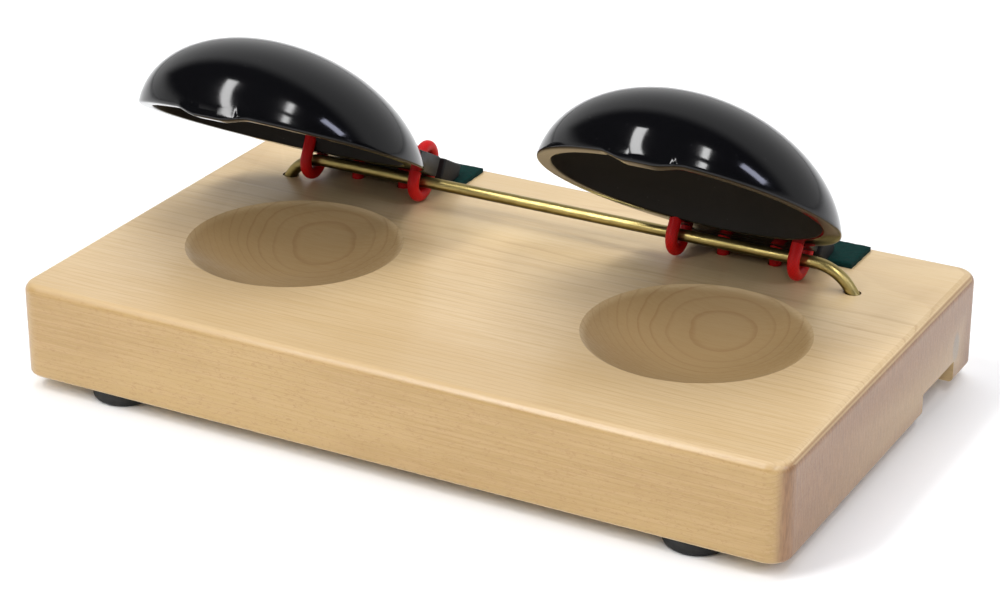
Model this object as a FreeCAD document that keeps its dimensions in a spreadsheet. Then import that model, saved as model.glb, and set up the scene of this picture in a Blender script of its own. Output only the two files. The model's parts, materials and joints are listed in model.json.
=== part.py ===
"""Table castanets: two sprung castanet shells hinged on a brass rod over a dished maple block.

Millimetres, +Z up, the player sits on the -Y side. The origin is the middle of the footprint,
at the level of the undersides of the rubber feet.
"""
import FreeCAD, Part
import os
import math
import Sketcher

V = FreeCAD.Vector

doc = FreeCAD.newDocument("table_castanets")
sheet = doc.addObject("Spreadsheet::Sheet", "sizes")

SIZES = {
    # maple block
    "block_len": 200.0,
    "block_wid": 118.5,
    "block_thk": 24.0,
    "corner_rad": 5.3,
    "top_round": 2.4,
    "base_round": 1.2,
    # dished hollows in its top, and the long groove under its rear half
    "hollow_dia": 54.0,
    "hollow_deep": 8.3,
    "hollow_x": 54.6,
    "hollow_y": -6.4,
    "groove_y": 33.6,
    "groove_wid": 20.5,
    "groove_deep": 5.5,
    # rubber feet and their screws
    "foot_dia": 16.0,
    "foot_hgt": 3.7,
    "foot_round": 1.4,
    "foot_x": 76.0,
    "foot_y": 50.0,
    "foot_bore": 3.4,
    "head_dia": 7.0,
    "head_thk": 1.6,
    "head_sink": 2.2,
    "screw_dia": 3.0,
    "screw_len": 13.0,
    "slip": 0.1,
    # brass rod
    "rod_dia": 3.0,
    "rod_y": 31.2,
    "rod_up": 5.75,
    "rod_x": -0.7,
    "rod_half": 68.6,
    "rod_bend": 11.5,
    "rod_angle": 55.6,
    "rod_tail": 25.0,
    "rod_hole": 3.7,
    # castanet shells
    "shell_rad": 36.8,
    "shell_long": 36.0,
    "shell_rise": 22.3,
    "shell_mid": 32.5,
    "shell_lean": 0.33,
    "shell_sink": 3.3,
    "bowl_rad": 32.8,
    "bowl_long": 30.9,
    "bowl_rise": 18.3,
    "bowl_mid": 33.9,
    "ear_wid": 38.0,
    "ear_front": 9.0,
    "ear_back": 2.2,
    "ear_thk": 3.4,
    "notch_wid": 3.4,
    "heel_taper": 1.0,
    "heel_len": 18.4,
    "heel_thk": 5.4,
    "heel_gap": 0.3,
    "tail_rad": 3.0,
    "tail_round": 1.0,
    "lip_half": 9.0,
    "lip_drop": 1.6,
    "lip_inset": 0.1,
    # red elastic cord
    "cord_dia": 3.0,
    "cord_hole": 3.5,
    "cord_bend": 2.3,
    "ring_x": 16.0,
    "ring_rad": 3.8,
    "seat_play": 0.2,
    "cord_play": 0.25,
    "knot_rad": 2.9,
    "pull_x": 6.9,
    "pull_y": 38.2,
    # felt pads
    "felt_len": 37.0,
    "felt_wid": 12.8,
    "felt_thk": 1.4,
    "felt_x": 54.2,
    "felt_y": 50.2,
}
for row, (alias, number) in enumerate(SIZES.items(), start=1):
    sheet.set("A%d" % row, alias)
    sheet.set("B%d" % row, str(number))
    sheet.setAlias("B%d" % row, alias)
doc.recompute()


def size(alias):
    """The present value of one cell of the sheet."""
    return float(sheet.get(alias))


# One row for each shell, because no two are quite alike: where the middle of its heel is on the
# rod, how far its round part is turned to the left of that, how far it stands open, how high its
# rim lies over the middle of the rod, and how far round from its foremost point the lip is.
SHELLS = {
    "left": {"x": -56.2, "yaw": 14.4, "open": 28.5, "rim": 1.8, "lip": 14.0},
    "right": {"x": 48.1, "yaw": 4.2, "open": 35.3, "rim": 2.8, "lip": 6.0},
}

SUB_PARTS = []


def keep(obj, label):
    """Name a finished sub-part and list it for export."""
    obj.Label = label
    SUB_PARTS.append(obj)
    return obj


def bind(obj, **expressions):
    """Bind properties of an object to the sheet: Length="block_len / 2" and so on."""
    for prop, text in expressions.items():
        path = prop.replace("__", ".")
        words = text.replace("(", " ( ").replace(")", " ) ").split()
        bound = " ".join("sizes." + w if w in SIZES else w for w in words)
        obj.setExpression(path, bound)


def put(obj, x="0", y="0", z="0"):
    """Bind the place of an object to the sheet."""
    bind(obj, Placement__Base__x=x, Placement__Base__y=y, Placement__Base__z=z)


def origin_plane(body, role):
    for feature in body.Origin.OriginFeatures:
        if feature.Role == role:
            return feature
    raise ValueError(role)


def new_sketch(body, name, role="XY_Plane", lift=None):
    """A sketch on one of the body's own origin planes, raised by a bound distance."""
    sketch = body.newObject("Sketcher::SketchObject", name)
    sketch.AttachmentSupport = (origin_plane(body, role), [""])
    sketch.MapMode = "FlatFace"
    if lift:
        bind(sketch, AttachmentOffset__Base__z=lift)
    return sketch


def bind_datum(sketch, constraint, name, text):
    index = sketch.addConstraint(constraint)
    sketch.renameConstraint(index, name)
    bind(sketch, **{"Constraints__" + name: text})


def rectangle(sketch, length, width, start=(10.0, 6.0)):
    """A rectangle centred on the sketch's origin, with both sides bound."""
    a, b = start
    corners = [V(-a, -b, 0), V(a, -b, 0), V(a, b, 0), V(-a, b, 0)]
    for i in range(4):
        sketch.addGeometry(Part.LineSegment(corners[i], corners[(i + 1) % 4]), False)
    for i in range(4):
        sketch.addConstraint(Sketcher.Constraint("Coincident", i, 2, (i + 1) % 4, 1))
    for i in (0, 2):
        sketch.addConstraint(Sketcher.Constraint("Horizontal", i))
    for i in (1, 3):
        sketch.addConstraint(Sketcher.Constraint("Vertical", i))
    sketch.addConstraint(Sketcher.Constraint("Symmetric", 0, 1, 1, 2, -1, 1))
    bind_datum(sketch, Sketcher.Constraint("DistanceX", 0, 1, 0, 2, 2 * a), "long_side", length)
    bind_datum(sketch, Sketcher.Constraint("DistanceY", 1, 1, 1, 2, 2 * b), "short_side", width)


def circle(sketch, radius):
    sketch.addGeometry(Part.Circle(V(0, 0, 0), V(0, 0, 1), 2.0), False)
    sketch.addConstraint(Sketcher.Constraint("Coincident", 0, 3, -1, 1))
    bind_datum(sketch, Sketcher.Constraint("Radius", 0, 2.0), "radius", radius)


def pad(body, sketch, length):
    feature = body.newObject("PartDesign::Pad", sketch.Name + "_pad")
    feature.Profile = sketch
    bind(feature, Length=length)
    doc.recompute()
    return feature


def pocket_up(body, sketch, length):
    """Cut from the sketch towards +Z and make sure that material really went."""
    before = body.Shape.Volume
    feature = body.newObject("PartDesign::Pocket", sketch.Name + "_pocket")
    feature.Profile = sketch
    feature.Reversed = True
    bind(feature, Length=length)
    doc.recompute()
    assert body.Shape.Volume < before - 1.0, sketch.Name + " cut nothing"
    return feature


def edges_where(shape, test):
    return ["Edge%d" % (i + 1) for i, edge in enumerate(shape.Edges) if test(edge)]


def fillet(body, test, radius):
    base = body.Tip
    feature = body.newObject("PartDesign::Fillet", "fillet")
    feature.Base = (base, edges_where(base.Shape, test))
    bind(feature, Radius=radius)
    doc.recompute()
    return feature


def at_height(edge, z):
    """True when the whole edge lies at one height."""
    box = edge.BoundBox
    return abs(box.ZMin - z) < 1e-4 and abs(box.ZMax - z) < 1e-4


def is_upright(edge):
    box = edge.BoundBox
    return box.ZLength > 1.0 and box.XLength < 1e-4 and box.YLength < 1e-4


def tube(points, bend_radius, diameter):
    """A round tube along straight runs joined by tangent arcs of one radius."""
    trims = {}
    for i in range(1, len(points) - 1):
        back = (points[i - 1] - points[i]).normalize()
        ahead = (points[i + 1] - points[i]).normalize()
        half = back.getAngle(ahead) / 2
        reach = bend_radius / math.tan(half)
        middle = (back + ahead).normalize() * (bend_radius / math.sin(half) - bend_radius)
        trims[i] = (points[i] + back * reach, points[i] + middle, points[i] + ahead * reach)
    edges = []
    for i in range(len(points) - 1):
        first = trims[i][2] if i in trims else points[i]
        last = trims[i + 1][0] if i + 1 in trims else points[i + 1]
        edges.append(Part.LineSegment(first, last).toShape())
        if i + 1 in trims:
            edges.append(Part.Arc(*trims[i + 1]).toShape())
    start = edges[0].valueAt(edges[0].FirstParameter)
    ahead = edges[0].tangentAt(edges[0].FirstParameter)
    section = Part.Wire([Part.Circle(start, ahead, diameter / 2).toShape()])
    return Part.Wire(edges).makePipeShell([section], True, False)


def feature(label, shape, placement=None):
    """A sub-part whose shape comes from Part's own functions."""
    obj = doc.addObject("Part::Feature", label)
    obj.Shape = shape
    if placement:
        obj.Placement = placement
    return keep(obj, label)


# ---------------------------------------------------------------- maple block

def make_block_blank():
    """The planed block: rounded corners and edges, and the groove under its rear half."""
    body = doc.addObject("PartDesign::Body", "block_blank")
    outline = new_sketch(body, "block_outline", lift="foot_hgt")
    rectangle(outline, "block_len", "block_wid", start=(100.0, 60.0))
    pad(body, outline, "block_thk")
    fillet(body, is_upright, "corner_rad")
    top = size("foot_hgt") + size("block_thk")
    fillet(body, lambda e: at_height(e, top), "top_round")
    fillet(body, lambda e: at_height(e, size("foot_hgt")), "base_round")
    slot = new_sketch(body, "groove_outline", lift="foot_hgt - 1")
    bind(slot, AttachmentOffset__Base__y="groove_y")
    rectangle(slot, "block_len + 4", "groove_wid", start=(102.0, 10.0))
    pocket_up(body, slot, "groove_deep + 1")
    return body


def cutter(kind, name, **bound):
    tool = doc.addObject(kind, name)
    bind(tool, **bound)
    return tool


def make_block_cutters():
    """Everything that is scooped or drilled out of the block."""
    tools = []
    dish = "( hollow_dia * hollow_dia / 4 + hollow_deep * hollow_deep ) / ( 2 * hollow_deep )"
    for side, sign in (("left", "-1"), ("right", "1")):
        ball = cutter("Part::Sphere", side + "_hollow", Radius=dish)
        put(ball, sign + " * hollow_x", "hollow_y", "foot_hgt + block_thk - hollow_deep + " + dish)
        tools.append(ball)
    for side, row in SHELLS.items():
        for number, sign in (("1", "-1"), ("2", "1")):
            hole = cutter("Part::Cylinder", side + "_cord_hole_" + number,
                          Radius="cord_hole / 2", Height="block_thk + 2")
            put(hole, "%.4f" % pull_hole_x(row, int(sign)), "pull_y", "foot_hgt - 1")
            tools.append(hole)
    for sign in (-1, 1):
        hole = cutter("Part::Cylinder", "rod_hole_%d" % (sign + 2),
                      Radius="rod_hole / 2", Height="rod_tail + 20")
        hole.Placement = rod_tail_placement(sign, back=6.0)
        tools.append(hole)
    for x_sign in ("-1", "1"):
        for y_sign in ("-1", "1"):
            hole = cutter("Part::Cylinder", "pilot_hole", Height="screw_len",
                          Radius="screw_dia / 2 + slip / 2")
            put(hole, x_sign + " * foot_x", y_sign + " * foot_y", "foot_hgt - 1")
            tools.append(hole)
    return tools


def rod_axis_height():
    return size("foot_hgt") + size("block_thk") + size("rod_up")


def rod_tail_start(sign):
    """Where the bend of the rod ends, at the top of the wood."""
    turn = math.radians(size("rod_angle"))
    x = size("rod_half") + size("rod_bend") * math.sin(turn)
    z = rod_axis_height() - size("rod_bend") * (1 - math.cos(turn))
    return V(size("rod_x") + sign * x, size("rod_y"), z)


def rod_tail_direction(sign):
    turn = math.radians(size("rod_angle"))
    return V(sign * math.cos(turn), 0, -math.sin(turn))


def rod_tail_placement(sign, back=0.0):
    """A placement whose Z axis runs down the slanted end of the rod."""
    way = rod_tail_direction(sign)
    return FreeCAD.Placement(rod_tail_start(sign) - way * back,
                             FreeCAD.Rotation(V(0, 0, 1), way))


def make_base_block():
    blank = make_block_blank()
    tools = doc.addObject("Part::MultiFuse", "block_cutters")
    tools.Shapes = make_block_cutters()
    block = doc.addObject("Part::Cut", "base_block")
    block.Base = blank
    block.Tool = tools
    doc.recompute()
    return keep(block, "base_block")


# ---------------------------------------------------------------- brass rod

def make_hinge_rod():
    """Half of the rod is swept along a bound path and mirrored at the middle of the block."""
    body = doc.addObject("PartDesign::Body", "rod_body")
    turn = math.radians(size("rod_angle"))
    half, bend, tail = size("rod_half"), size("rod_bend"), size("rod_tail")
    path = new_sketch(body, "rod_path", "XZ_Plane")
    arc_end = V(half + bend * math.sin(turn), -bend * (1 - math.cos(turn)), 0)
    tail_end = arc_end + V(math.cos(turn), -math.sin(turn), 0) * tail
    circle_of_bend = Part.Circle(V(half, -bend, 0), V(0, 0, 1), bend)
    path.addGeometry(Part.LineSegment(V(0, 0, 0), V(half, 0, 0)), False)
    path.addGeometry(Part.ArcOfCircle(circle_of_bend, math.pi / 2 - turn, math.pi / 2), False)
    path.addGeometry(Part.LineSegment(arc_end, tail_end), False)
    path.addConstraint(Sketcher.Constraint("Coincident", 0, 1, -1, 1))
    path.addConstraint(Sketcher.Constraint("Horizontal", 0))
    path.addConstraint(Sketcher.Constraint("Tangent", 0, 2, 1, 2))
    path.addConstraint(Sketcher.Constraint("Tangent", 1, 1, 2, 1))
    bind_datum(path, Sketcher.Constraint("DistanceX", 0, 1, 0, 2, half), "half", "rod_half")
    bind_datum(path, Sketcher.Constraint("Radius", 1, bend), "bend", "rod_bend")
    bind_datum(path, Sketcher.Constraint("Distance", 2, tail), "tail", "rod_tail")
    drop = bend * (1 - math.cos(turn))
    path.addConstraint(Sketcher.Constraint("DistanceY", 1, 1, 0, 2, drop))
    section = new_sketch(body, "rod_section", "YZ_Plane")
    circle(section, "rod_dia / 2")
    doc.recompute()
    sweep = body.newObject("PartDesign::AdditivePipe", "rod_sweep")
    sweep.Profile = section
    sweep.Spine = (path, ["Edge1", "Edge2", "Edge3"])
    doc.recompute()
    mirrored = body.newObject("PartDesign::Mirrored", "rod_mirror")
    mirrored.Originals = [sweep]
    mirrored.MirrorPlane = (origin_plane(body, "YZ_Plane"), [""])
    body.Tip = mirrored
    put(body, "rod_x", "rod_y", "foot_hgt + block_thk + rod_up")
    doc.recompute()
    return keep(body, "hinge_rod")


# ---------------------------------------------------------------- castanet shells

def shell_placement(row):
    """Shell frame: X along the rod, -Y to the striking edge, Z out of the rim's plane."""
    place = V(row["x"], size("rod_y"), rod_axis_height())
    return FreeCAD.Placement(place, FreeCAD.Rotation(V(1, 0, 0), -row["open"]))


def leaning_dome(radius_x, radius_y, rise, middle, rim):
    """The cap of an ellipsoid on the rim's plane, its crown pushed towards the striking edge."""
    sink, lean = size("shell_sink"), size("shell_lean")
    half_height = rise + sink
    spread = 1 / math.sqrt(1 - (sink / half_height) ** 2)
    matrix = FreeCAD.Matrix()
    matrix.A11 = radius_x * spread
    matrix.A22 = radius_y * spread
    matrix.A23 = -lean * half_height
    matrix.A24 = lean * sink - middle
    matrix.A33 = half_height
    matrix.A34 = rim - sink
    ball = Part.makeSphere(1.0).transformGeometry(matrix)
    reach = 200.0
    above = Part.makeBox(reach, reach, reach, V(-reach / 2, -reach / 2, rim))
    return ball.common(above)


def oval_prism(radius_x, radius_y, middle, low, high):
    """An upright prism with an oval outline."""
    matrix = FreeCAD.Matrix()
    matrix.A11 = radius_x
    matrix.A22 = radius_y
    matrix.A24 = -middle
    matrix.A33 = high - low
    matrix.A34 = low
    return Part.makeCylinder(1.0, 1.0).transformGeometry(matrix)


def tail_slab(row):
    """Ears and heel in one slab behind the round part, its underside cut to lie on the felt."""
    low, high = row["rim"], row["rim"] + size("heel_thk")
    front, shoulder, tail = -size("ear_front"), size("ear_back"), size("heel_len")
    wide = size("ear_wid") / 2
    narrow = wide - size("heel_taper")
    corners = [V(-wide, front, low), V(wide, front, low), V(wide, shoulder, low),
               V(narrow, tail, low), V(-narrow, tail, low), V(-wide, shoulder, low)]
    slab = Part.Face(Part.makePolygon(corners + corners[:1])).extrude(V(0, 0, high - low))
    upright = [e for e in slab.Edges if is_upright(e) and e.BoundBox.YMin > tail - 1]
    slab = slab.makeFillet(size("tail_rad"), upright)
    rear = [e for e in slab.Edges if at_height(e, high) and e.BoundBox.YMax > shoulder + 1]
    slab = slab.makeFillet(size("tail_round"), rear)
    # what would lie lower than the felt in the open pose comes off the underside
    felt_top = size("felt_thk") + size("heel_gap") - size("rod_up")
    reach = 100.0
    below = Part.makeBox(reach, reach, reach, V(-reach / 2, -reach / 2, felt_top - reach))
    below.Placement = FreeCAD.Placement(V(0, 0, 0), shell_placement(row).Rotation.inverted())
    return slab.cut(below)


def striking_lip(row):
    """The thicker nub of the rim at the front, which hits the wood."""
    rim, half, drop = row["rim"], size("lip_half"), size("lip_drop")
    radius = (half * half + drop * drop) / (2 * drop)
    middle = V(0, -size("shell_mid"), 0)
    roll = Part.makeCylinder(radius, 60.0, middle + V(0, 0, rim + radius - drop), V(0, -1, 0))
    roll.rotate(middle, V(0, 0, 1), row["lip"])
    inset = size("lip_inset")
    disc = oval_prism(size("shell_rad") - inset, size("shell_long") - inset, size("shell_mid"),
                      rim - 3, rim + 1)
    return roll.common(disc)


def round_part(row):
    """The domed round of the shell with its lip, and the bowl hollowed out of it."""
    rim, lean_side = row["rim"], -row["yaw"]
    dome = leaning_dome(size("shell_rad"), size("shell_long"), size("shell_rise"),
                        size("shell_mid"), rim)
    bowl = leaning_dome(size("bowl_rad"), size("bowl_long"), size("bowl_rise"),
                        size("bowl_mid"), rim)
    mouth = oval_prism(size("bowl_rad"), size("bowl_long"), size("bowl_mid"), rim - 4, rim)
    shapes = [dome, striking_lip(row), bowl, mouth]
    for shape in shapes:
        shape.rotate(V(0, 0, 0), V(0, 0, 1), lean_side)
    return shapes


def make_shell(side, row):
    dome, lip, bowl, mouth = round_part(row)
    body = dome.fuse([tail_slab(row), lip]).cut(bowl).cut(mouth)
    hole = size("cord_hole") / 2
    seat_half = hole + size("seat_play")
    seat_top = row["rim"] + size("ear_thk")
    seat_front, notch_front = -size("ring_rad") - seat_half, size("ear_back")
    notch_back = notch_front + size("notch_wid")
    reach, below = 40.0, V(0, 0, -5)
    for sign in (-1, 1):
        x = sign * size("ring_x")
        # a flat seat on the ear for the cord ring, and a notch behind the ear for its strand
        body = body.cut(Part.makeBox(2 * seat_half, notch_back - seat_front, reach,
                                     V(x - seat_half, seat_front, seat_top)))
        edge = x - seat_half if sign > 0 else x + seat_half - reach
        body = body.cut(Part.makeBox(reach, size("notch_wid"), reach,
                                     V(edge, notch_front, -reach / 2)))
        for start in (V(x, -size("ring_rad"), 0), heel_hole(row, sign)):
            body = body.cut(Part.makeCylinder(hole, reach, start + below))
    return feature(side + "_shell", body.removeSplitter(), shell_placement(row))


def pull_hole_x(row, sign):
    """Where one strand of the pull cord comes up through the block."""
    return row["x"] + sign * size("pull_x")


def heel_hole(row, sign):
    """The mouth of a pull cord's hole in the heel, in the shell's frame.

    It is the point of the heel's flat underside straight above the hole in the block.
    """
    frame = shell_placement(row).inverse()
    low = frame.multVec(V(pull_hole_x(row, sign), size("pull_y"), 0))
    high = frame.multVec(V(pull_hole_x(row, sign), size("pull_y"), 100))
    return low + (high - low) * ((row["rim"] - low.z) / (high.z - low.z))


# ---------------------------------------------------------------- red elastic cord

def make_cord_ring(label, row, sign):
    """An elastic ring through the ear and round the rod: two strands and two half circles."""
    x, rad, strand = sign * size("ring_x"), size("ring_rad"), size("cord_dia") / 2
    top = row["rim"] + size("ear_thk") + size("slip")
    parts = [Part.makeCylinder(strand, top, V(x, y, 0)) for y in (-rad, rad)]
    for z, first in ((top, 0), (0, 180)):
        arc = Part.makeTorus(rad, strand, V(0, 0, 0), V(0, 0, 1), -180, 180, 180)
        upright = FreeCAD.Rotation(V(0, 1, 0), V(0, 0, 1), V(1, 0, 0), "XYZ")
        spin = FreeCAD.Rotation(V(1, 0, 0), first)
        arc.Placement = FreeCAD.Placement(V(x, 0, z), spin.multiply(upright))
        parts.append(arc)
    feature(label, parts[0].fuse(parts[1:]).removeSplitter(), shell_placement(row))


def make_heel_loop(side, row):
    """The stretch of pull cord that lies across the heel and dips into its two holes."""
    mouths = [heel_hole(row, sign) for sign in (-1, 1)]
    start = V(0, 0, size("cord_play"))
    over = V(0, 0, size("heel_thk") + size("cord_dia") / 2 + size("cord_play"))
    points = [mouths[0] + start, mouths[0] + over, mouths[1] + over, mouths[1] + start]
    loop = tube(points, size("cord_bend"), size("cord_dia"))
    feature(side + "_heel_loop", loop, shell_placement(row))


def make_pull_cord(side, row):
    """The stretch of pull cord in the block: down one hole, along the groove, up the other."""
    y, strand = size("pull_y"), size("cord_dia") / 2
    lean = math.tan(math.radians(row["open"]))
    heights = [shell_placement(row).multVec(heel_hole(row, sign)).z for sign in (-1, 1)]
    high = min(heights) - strand * lean - size("cord_play") * 1.6
    roof = size("foot_hgt") + size("groove_deep")
    low = roof - size("knot_rad") - size("slip") * 1.5
    left, right = pull_hole_x(row, -1), pull_hole_x(row, 1)
    points = [V(left, y, high), V(left, y, low), V(right, y, low), V(right, y, high)]
    feature(side + "_pull_cord", tube(points, size("cord_bend"), size("cord_dia")))
    # the knot: two turns of squeezed cord side by side round the run
    turns = []
    wrap = strand * 0.8
    for side_step in (-0.8 * wrap, 0.8 * wrap):
        middle = V(row["x"] + side_step, y, low)
        turns.append(Part.makeTorus(size("knot_rad") - wrap, wrap, middle, V(1, 0, 0)))
    cord = Part.makeCylinder(strand, right - left, V(left, y, low), V(1, 0, 0))
    feature(side + "_cord_knot", turns[0].fuse(turns[1]).cut(cord))


# ---------------------------------------------------------------- felt, feet and screws

def make_felt(side, sign):
    body = doc.addObject("PartDesign::Body", side + "_felt_body")
    outline = new_sketch(body, side + "_felt_outline")
    rectangle(outline, "felt_len", "felt_wid", start=(18.0, 6.0))
    pad(body, outline, "felt_thk")
    put(body, "%d * felt_x" % sign, "felt_y", "foot_hgt + block_thk")
    keep(body, side + "_felt")


def make_foot(label, x_sign, y_sign):
    """A round rubber foot with a sunk seat for its screw."""
    body = doc.addObject("PartDesign::Body", label + "_body")
    disc = new_sketch(body, label + "_disc")
    circle(disc, "foot_dia / 2")
    pad(body, disc, "foot_hgt")
    fillet(body, lambda e: at_height(e, 0.0), "foot_round")
    seat = new_sketch(body, label + "_seat")
    circle(seat, "head_dia / 2 + slip")
    pocket_up(body, seat, "head_sink")
    bore = new_sketch(body, label + "_bore")
    circle(bore, "foot_bore / 2")
    pocket_up(body, bore, "foot_hgt")
    put(body, "%d * foot_x" % x_sign, "%d * foot_y" % y_sign, "0")
    keep(body, label + "_foot")


def make_screw(label, x_sign, y_sign):
    """A pan-head screw with a cross recess, head down in the foot's seat."""
    body = doc.addObject("PartDesign::Body", label + "_screw_body")
    head = new_sketch(body, label + "_head", lift="head_sink - head_thk")
    circle(head, "head_dia / 2")
    pad(body, head, "head_thk")
    fillet(body, lambda e: at_height(e, size("head_sink") - size("head_thk")), "head_thk * 0.5")
    shank = new_sketch(body, label + "_shank", lift="head_sink")
    circle(shank, "screw_dia / 2")
    pad(body, shank, "foot_hgt - head_sink + screw_len - 2")
    for number, (length, width) in enumerate((("3.6", "0.8"), ("0.8", "3.6"))):
        slot = new_sketch(body, "%s_slot_%d" % (label, number), lift="head_sink - head_thk - 1")
        rectangle(slot, length, width, start=(1.8, 0.4) if number == 0 else (0.4, 1.8))
        pocket_up(body, slot, "1 + head_thk * 0.6")
    put(body, "%d * foot_x" % x_sign, "%d * foot_y" % y_sign, "0")
    keep(body, label + "_screw")


make_base_block()
make_hinge_rod()
for side, row in SHELLS.items():
    make_shell(side, row)
    outer = -1 if side == "left" else 1
    make_cord_ring(side + "_outer_loop", row, outer)
    make_cord_ring(side + "_inner_loop", row, -outer)
    make_heel_loop(side, row)
    make_pull_cord(side, row)
    make_felt(side, outer)
for y_name, y_sign in (("front", -1), ("rear", 1)):
    for x_name, x_sign in (("left", -1), ("right", 1)):
        corner = y_name + "_" + x_name
        make_foot(corner, x_sign, y_sign)
        make_screw(corner, x_sign, y_sign)
doc.recompute()

for obj in doc.Objects:
    bad = [word for word in obj.State if word in ("Invalid", "Error")]
    assert not bad, "%s is %s" % (obj.Label, bad)
for obj in SUB_PARTS:
    assert not obj.Shape.isNull(), obj.Label + " is empty"
    assert obj.Shape.isValid(), obj.Label + " is not valid"
    assert obj.Shape.Volume > 1.0, obj.Label + " has no volume"

os.makedirs("parts", exist_ok=True)
for obj in SUB_PARTS:
    obj.Shape.exportStep("parts/%s.step" % obj.Label)
    print("%-20s %10.1f mm3  solids %d" % (obj.Label, obj.Shape.Volume, len(obj.Shape.Solids)))
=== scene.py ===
"""Table castanets: the visual model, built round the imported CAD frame.

Lengths in the builders below are millimetres, and MM turns them into the frame's metres.
"""
import json
import math

import bmesh
import bpy
from mathutils import Matrix, Vector


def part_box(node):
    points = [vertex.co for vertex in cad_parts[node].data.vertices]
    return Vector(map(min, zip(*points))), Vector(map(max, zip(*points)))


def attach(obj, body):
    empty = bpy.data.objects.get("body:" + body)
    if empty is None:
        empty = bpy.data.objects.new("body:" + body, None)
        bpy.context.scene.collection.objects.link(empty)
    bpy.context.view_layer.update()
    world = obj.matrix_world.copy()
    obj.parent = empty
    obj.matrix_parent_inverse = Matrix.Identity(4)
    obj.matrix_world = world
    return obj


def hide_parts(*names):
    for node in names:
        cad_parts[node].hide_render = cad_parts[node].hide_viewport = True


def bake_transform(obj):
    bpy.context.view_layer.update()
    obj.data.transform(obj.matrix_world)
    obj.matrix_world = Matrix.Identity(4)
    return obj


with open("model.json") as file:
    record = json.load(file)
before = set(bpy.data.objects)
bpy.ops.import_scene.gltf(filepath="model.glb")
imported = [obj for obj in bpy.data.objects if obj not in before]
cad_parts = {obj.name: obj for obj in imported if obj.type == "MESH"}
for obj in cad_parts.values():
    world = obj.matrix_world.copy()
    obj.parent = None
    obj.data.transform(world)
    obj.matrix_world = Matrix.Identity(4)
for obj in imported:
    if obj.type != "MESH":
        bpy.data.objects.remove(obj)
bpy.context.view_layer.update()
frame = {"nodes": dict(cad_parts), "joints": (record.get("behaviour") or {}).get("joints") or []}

MM = 0.001
SIDES = ("left", "right")
CORNERS = ("front_left", "front_right", "rear_left", "rear_right")

# where the frame says things are, in millimetres
HINGE = {j["child"]: Vector(j["pos_m"]) / MM for j in frame["joints"]}
WOOD_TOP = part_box("base_block")[1].z / MM
WOOD_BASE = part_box("base_block")[0].z / MM
FELT_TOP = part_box("left_felt")[1].z / MM

# the two shells: turn of the round part and tilt, in degrees, height of the rim over the rod,
# and how many degrees round from its foremost point the lip is
SHELLS = {
    "left": {"yaw": 14.4, "open": 28.5, "rim": 1.8, "lip": 14.0},
    "right": {"yaw": 4.2, "open": 35.3, "rim": 2.8, "lip": 6.0},
}
# the outside and the bowl: half axes at the rim, height, and distance of the middle from the rod
OUTER = {"rx": 36.8, "ry": 36.0, "rise": 22.3, "mid": 32.5}
BOWL = {"rx": 32.8, "ry": 30.9, "rise": 18.3, "mid": 33.9}
# how far the domes lean forward for each millimetre up, and how far the rim is over their middles
LEAN, SINK = 0.33, 3.3
# the striking lip: half of its length, how far it stands down and out, and the scoop over it
LIP = {"half": 11.0, "full": 3.0, "down": 1.5, "out": 0.75, "high": 4.2, "scoop": 0.34,
       "scoop_half": 9.5, "nub": 0.3, "nub_at": 8.0, "nub_half": 0.4}
EAR_HALF, EAR_BACK, EAR_FRONT, EAR_THICK = 19.0, 2.2, -9.0, 3.4
HEEL_TAPER, HEEL_LONG, HEEL_THICK, HEEL_ROUND = 1.0, 18.4, 5.4, 3.0
HEEL_GAP, NOTCH, SEAT_PLAY = 0.3, 3.4, 0.2
RING_X, RING_RADIUS = 16.0, 3.8
CORD_RADIUS, HOLE_RADIUS = 1.5, 1.75
CORD_SLIP, CORD_PLAY = 0.1, 0.25
PULL_X, PULL_Y = 6.9, 38.2
GROOVE_ROOF = WOOD_BASE + 5.5
CORD_RUN = GROOVE_ROOF - 3.05


# ------------------------------------------------------------------ mesh helpers

def new_piece(name, mesh):
    piece = bpy.data.objects.new(name, mesh)
    bpy.context.scene.collection.objects.link(piece)
    return piece


def mesh_from(name, points, faces, rounding=0.0):
    """A closed mesh from millimetre points, its sharp edges rounded if asked."""
    mesh = bpy.data.meshes.new(name)
    mesh.from_pydata([tuple(p * MM) for p in points], [], faces)
    work = bmesh.new()
    work.from_mesh(mesh)
    bmesh.ops.recalc_face_normals(work, faces=work.faces)
    if rounding:
        sharp = [e for e in work.edges if e.calc_face_angle(0.0) > math.radians(25)]
        bmesh.ops.bevel(work, geom=sharp, offset=rounding * MM, segments=3, profile=0.5,
                        affect="EDGES", clamp_overlap=True)
    work.to_mesh(mesh)
    work.free()
    return mesh


def shade(mesh, angle=38.0):
    """Smooth shading, with edges over the angle kept sharp."""
    work = bmesh.new()
    work.from_mesh(mesh)
    bmesh.ops.recalc_face_normals(work, faces=work.faces)
    limit = math.radians(angle)
    for face in work.faces:
        face.smooth = True
    for edge in work.edges:
        edge.smooth = len(edge.link_faces) == 2 and edge.calc_face_angle(0.0) < limit
    work.to_mesh(mesh)
    work.free()


def baked(piece):
    """Apply the piece's modifiers, so that the finished form is in its mesh."""
    graph = bpy.context.evaluated_depsgraph_get()
    mesh = bpy.data.meshes.new_from_object(piece.evaluated_get(graph))
    piece.modifiers.clear()
    piece.data = mesh
    return piece


def boolean(piece, tools, operation):
    """Union or difference with other closed pieces, which are then removed."""
    for tool in tools:
        modifier = piece.modifiers.new("cut", "BOOLEAN")
        modifier.operation = operation
        modifier.solver = "EXACT"
        modifier.object = tool
        bpy.context.view_layer.update()
        baked(piece)
        bpy.data.objects.remove(tool)
    return piece


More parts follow.
